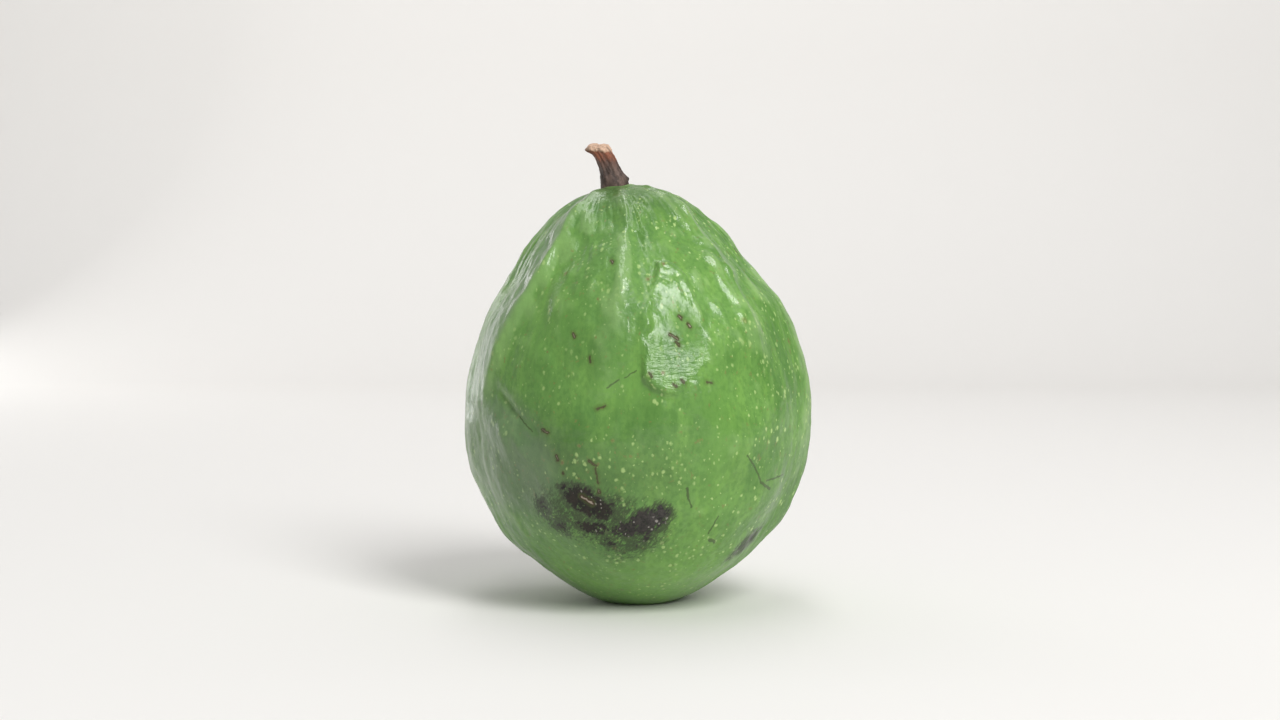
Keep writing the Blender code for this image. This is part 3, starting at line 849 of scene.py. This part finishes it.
def waxyFruitSkin():
    # green avocado skin, grown: a thin waxy cuticle over leathery rind. The wax gives sharp, small
    # highlights over a broader sheen; the rind gives the greens, the flecks and the fine wrinkles
    material, shader, add = newMaterial("waxyFruitSkin")
    place = add("TexCoord").outputs["Object"]
    names = "bruise ash crest shoulder seat facet wax wrinkled flecked bloom shade".split()
    field = {name: add("Attribute", attribute_name=name).outputs["Fac"] for name in names}
    pattern = addPatterns(add, place, skinPatterns)

    # places shifted by a noise of 1 mm cells, so that round spots get uneven edges: by up to
    # 0.4 mm for flecks and scratches and 0.6 mm for scabs
    wobble = add("TexNoise", place, 1000.0, 3.0).outputs["Color"]
    wobble = add("VectorMath", wobble, (0.5, 0.5, 0.5), **minus)
    wavy = add("VectorMath", place, add("VectorMath", wobble, 0.0008, operation="SCALE"), **plus)
    flecks = functools.partial(fleckSpots, add, wavy, pattern["bands"])
    pale = add("Mix", field["shoulder"], flecks(skinFlecks["low"]), flecks(skinFlecks["high"]))
    fine = add("Math", flecks(skinFlecks["fine"]), 0.70, **times)
    pale = add("Math", add("Math", pale, fine, operation="MAXIMUM"), field["flecked"], **times)
    shake = add("VectorMath", wobble, (0.8, 0.8, 0), **times)
    spot = add("VectorMath", unrolled(add, place), shake, **plus)
    toScratch = markDistance(add, spot, scratches)
    spot = add("VectorMath", spot, add("VectorMath", shake, (0.5, 0.5, 0), **times), **plus)
    toScab = markDistance(add, spot, scabs)
    scab = add("MapRange", toScab, -0.10, 0.20, 1.0, 0.0, **smooth)

    # bruises: the field's soft ovals, torn into blotches and into leaning feathers. The dried skin
    # is black-brown to umber, or black to grey where it is ashen
    blotch = add("MapRange", pattern["torn"], 0.34, 0.66, 0.0, 1.0)
    feather = add("MapRange", pattern["feathers"], 0.34, 0.66, 0.0, 1.15)
    torn = add("Math", field["bruise"], add("Math", blotch, feather, **plus), **times)
    hurt = add("MapRange", torn, 0.52, 0.72, **smooth)
    grain = add("Math", pattern["grain"], pattern["torn"], **plus)
    grain = add("MapRange", grain, 0.72, 1.28, **smooth)
    driedDark = add("Mix", field["ash"], linear("#0d0b09"), linear("#1d1a1c"), **rgba)
    driedPale = add("Mix", field["ash"], linear("#281f18"), linear("#4f494a"), **rgba)
    dried = add("Mix", grain, driedDark, driedPale, **rgba)

    # the colours, from the rind outwards, with painted highlight, sheen, light and shade among them
    cloudy = add("MapRange", pattern["clouds"], 0.34, 0.66, **smooth)
    rind = add("Mix", cloudy, linear("#568338"), linear("#6c9a49"), **rgba)
    paintedShade, paintedLight = (add("MapRange", field["shade"], 0.0, full) for full in (1.0, -1.0))
    # painted sheen, streaked
    paintedSheenStreaks = add("Math", field["bloom"], add("Math", pattern["streaks"], 0.5, **plus), **times)
    colour = layered(add, rind, (
        (pattern["streaks"], (0.42, 0.70), 0.40, "#82b050"),
        (pattern["mottle"], (0.38, 0.66), 0.34, "#3a6a26"),
        (field["crest"], (0.1, 1.0), 0.34, "#a6c684"),  # painted highlight: ribs and knobs lighter
        (field["flecked"], (0.97, 0.68), 0.30, "#4a6f40"),  # painted shade: the side away from the light darker
        # painted shade, then painted light
        (paintedShade, (), 0.34, "#0c1a06"),
        (paintedLight, (), 0.40, "#8fc45a"),
        (pattern["rust"], (0.61, 0.72), 0.55, "#7f7040"),
        (pale, (), 0.84, "#b0cc80"),  # flecks
        # painted sheen: a grey-white reflection on the left flank
        (paintedSheenStreaks, (), 0.34, "#7c8b76"),
        (flecks(skinFlecks["corky"]), (), 0.42, "#7f7244"),
        (flecks(skinFlecks["corky"], 0.45), (), 0.50, "#6f4c3c"),  # their darker middles
        (torn, (0.06, 0.38), 0.86, "#2f3b20"),  # dusky skin round the bruises, partly painted shadow
        (hurt, (), 0.95, dried),
        (add("Math", fine, hurt, **times), (), 1.0, "#a8a29c"),  # flecks dried pale
        (toScratch, (-0.05, 0.28, 1.0, 0.0), 0.75, "#3c4a26"),
        (toScab, (0.0, 1.0, 1.0, 0.0), 0.45, "#4c5a26"),
        (scab, (), 0.76, "#443529"),
        (toScab, (-0.56, -0.24, 1.0, 0.0), 0.80, "#a89a8c"),
        (field["seat"], (), 0.75, "#6e6148"),
    ))

    # gloss: rough where the wax is worn off, rougher on bruises and rougher still on scabs, which
    # have less wax too
    rough = add("Math", add("Math", pattern["wear"], 0.12, **times), 0.30, **plus)
    rough = add("Math", rough, add("MapRange", field["wax"], 0.10, 0.45, 0.24, 0.0), **plus)
    rough = add("Math", rough, add("Math", hurt, 0.14, **times), **plus)
    rough = add("Math", rough, add("Math", scab, 0.30, **times), **plus)
    waxy = add("Math", add("Math", hurt, scab, operation="MAXIMUM"), 0.35, **times)
    waxy = add("Math", field["wax"], waxy, **minus)
    shader.inputs["IOR"].default_value = 1.45  # plant wax
    shader.inputs["Specular IOR Level"].default_value = 0.3
    shader.inputs["Coat Roughness"].default_value = 0.1
    shader.inputs["Coat IOR"].default_value = 1.5

    # heights in millimetres: pores, upright wrinkles that are deeper on the shoulders, level
    # wrinkles low on the facet and its mottling, slow lumps, and the grain of the bruises
    depth = add("Math", add("Math", field["shoulder"], 0.10, **times), 0.07, **plus)
    height = add("Math", pattern["pores"], 0.05, **times)
    for share, amount in (
        (pattern["upright"], depth),
        (pattern["level"], add("Math", field["wrinkled"], 0.34, **times)),
        (pattern["mottle"], add("Math", field["facet"], 0.12, **times)),
        (pattern["lumps"], 0.30),
        (pattern["grain"], add("Math", field["bruise"], 0.05, **times)),
    ):
        height = add("Math", add("Math", share, amount, **times), height, **plus)
    bump = add("Bump", Height=height, Strength=1.0, Distance=0.001)
    for output, name in (
        (colour, "Base Color"), (rough.outputs[0], "Roughness"), (waxy.outputs[0], "Coat Weight"),
        (bump.outputs[0], "Normal"), (bump.outputs[0], "Coat Normal"),
    ):
        material.node_tree.links.new(output, shader.inputs[name])
    return material


# The bark's patterns, in the same units
barkPatterns = {
    "patches": {"mm": 1.8, "tall": 1.6, "detail": 4, "rough": 0.6},
    "fibres": {"mm": 0.45, "tall": 5, "detail": 4, "rough": 0.6},
}


def dryStemBark():
    # dried avocado wood: matt grey-brown bark, redder under the tear, pale torn fibres on top
    material, shader, add = newMaterial("dryStemBark")
    pattern = addPatterns(add, add("TexCoord").outputs["Object"], barkPatterns)
    rise, ridge = (add("Attribute", attribute_name=name).outputs["Fac"] for name in ("rise", "ridge"))
    patchy = add("Math", add("Math", pattern["patches"], 0.5, **minus), 0.35, **times)
    edge = add("Math", rise, patchy, **plus)
    patches = add("MapRange", pattern["patches"], 0.35, 0.65, **smooth)
    bark = add("Mix", patches, linear("#43342e"), linear("#6f5b52"), **rgba)
    colour = layered(add, bark, (
        (edge, (0.30, 0.62), 0.65, "#5c3c30"),  # redder further up
        (edge, (0.55, 0.72), 0.85, "#8c5238"),
        (edge, (0.84, 0.93), 1.0, "#caa88f"),  # torn wood
        (pattern["fibres"], (0.45, 0.70), 0.35, "#2e2420"),
        (ridge, (0.0, -0.8), 0.5, "#33271f"),  # painted shade: dark in the furrows
    ))
    rough = add("Math", add("Math", pattern["fibres"], 0.2, **times), 0.62, **plus)
    height = add("Math", pattern["fibres"], 0.10, **times)
    height = add("Math", add("Math", pattern["patches"], 0.12, **times), height, **plus)
    bump = add("Bump", Height=height, Strength=1.0, Distance=0.001)
    shader.inputs["IOR"].default_value = 1.5  # dry wood
    for output, name in (
        (colour, "Base Color"), (rough.outputs[0], "Roughness"), (bump.outputs[0], "Normal"),
    ):
        material.node_tree.links.new(output, shader.inputs[name])
    return material


fruitSkin.data.materials.append(waxyFruitSkin())
stemBark.data.materials.append(dryStemBark())
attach(fruitSkin, "root")
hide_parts("fruit")
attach(stemBark, "root")
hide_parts("stem")
print("materials on, pieces ride on the frame")


# The studio: a pale table that curves up into its backdrop, and soft light

studio = {
    "tableFront": -2.5, "tableBack": 1.15, "curve": 0.35, "wallHeight": 1.1, "halfWidth": 1.6,
    "bendSteps": 24, "paper": "#e8e6e3", "world": 0.34,
}
# Each light shines at its aim from a direction, so many metres away, with its size and its watts
lights = table(
    "name from away size watts aim",
    ("keySoftbox", (0.42, -0.65, 0.64), 1.8, (0.58, 1.12), 27.6, (0, 0, 0.06)),
    ("topSoftbox", (0, 0.08, 1.0), 1.0, (0.22, 1.20), 2.6, (-0.02, 0, 0.06)),
    ("sideSoftbox", (-0.72, 0.67, 0.14), 1.4, (0.92, 0.64), 3.2, (0, 0, 0.06)),
    ("wallBank", (0, -0.60, 0.80), 1.2, (2.4, 0.5), 5.4, (0, 1.5, 0.15)),
)


def makeBackdrop():
    # a strip: the flat table, a quarter round, then the upright wall
    bend = np.linspace(0, math.pi / 2, studio["bendSteps"] + 1)
    y = np.concatenate(([studio["tableFront"]], studio["tableBack"] + studio["curve"] * np.sin(bend)))
    z = np.concatenate(([0.0], studio["curve"] * (1 - np.cos(bend))))
    y, z = np.append(y, y[-1]), np.append(z, studio["wallHeight"])
    side = studio["halfWidth"]
    vertices = [(x, a, b) for a, b in zip(y, z) for x in (-side, side)]
    faces = [(2 * i, 2 * i + 1, 2 * i + 3, 2 * i + 2) for i in range(len(y) - 1)]
    mesh = bpy.data.meshes.new("backdrop")
    mesh.from_pydata(vertices, [], faces)
    mesh.shade_smooth()
    backdrop = bpy.data.objects.new("backdrop", mesh)
    bpy.context.scene.collection.objects.link(backdrop)
    material, shader, _ = newMaterial("paleStudioPaper")
    shader.inputs["Base Color"].default_value = linear(studio["paper"])
    shader.inputs["Roughness"].default_value = 0.75
    mesh.materials.append(material)
    backdrop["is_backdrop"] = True


def softLight(look):
    # a rectangle of light that stands away from its aim and faces it
    lamp = bpy.data.lights.new(look["name"], "AREA")
    lamp.shape = "RECTANGLE"
    lamp.size, lamp.size_y = look["size"]
    lamp.energy = look["watts"]
    light = bpy.data.objects.new(look["name"], lamp)
    aim = Vector(look["aim"])
    light.location = aim + Vector(look["from"]).normalized() * look["away"]
    light.rotation_euler = (aim - light.location).to_track_quat("-Z", "Y").to_euler()
    bpy.context.scene.collection.objects.link(light)


makeBackdrop()
for look in lights:
    softLight(look)
world = bpy.data.worlds.new("paleRoom")
world.use_nodes = True
world.node_tree.nodes["Background"].inputs["Color"].default_value = (1, 1, 1, 1)
world.node_tree.nodes["Background"].inputs["Strength"].default_value = studio["world"]
bpy.context.scene.world = world
bpy.context.scene.view_settings.view_transform = "Standard"

# The camera: a 50 mm lens level with the fruit's shoulders, looking slightly down.
# At the fruit one pixel of the 1280 x 720 frame is 0.288 mm
photo = {
    "lens": 50.0, "sensor": 36.0, "frameWide": 1280,  # millimetres, and pixels
    "pixel": 0.0002881, "aside": 0.0006,  # metres at the fruit
    "horizonAbove": 70, "tableBelow": 310,  # pixels from the middle of the frame, and from the lens
}
focalPixels = photo["frameWide"] * photo["lens"] / photo["sensor"]
view = bpy.data.cameras.new("photoCamera")
view.lens, view.sensor_width = photo["lens"], photo["sensor"]
view.clip_start = 0.01
camera = bpy.data.objects.new("photoCamera", view)
away, above = focalPixels * photo["pixel"], photo["tableBelow"] * photo["pixel"]
camera.location = (photo["aside"], -away, above)
camera.rotation_euler = (math.radians(90) - math.atan(photo["horizonAbove"] / focalPixels), 0, 0)
bpy.context.scene.collection.objects.link(camera)
bpy.context.scene.camera = camera
print("studio and camera ready")

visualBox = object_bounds()
boxes = {"cad": cadBox, "visual": visualBox}
{name: [list(corner) for corner in box] for name, box in boxes.items()}
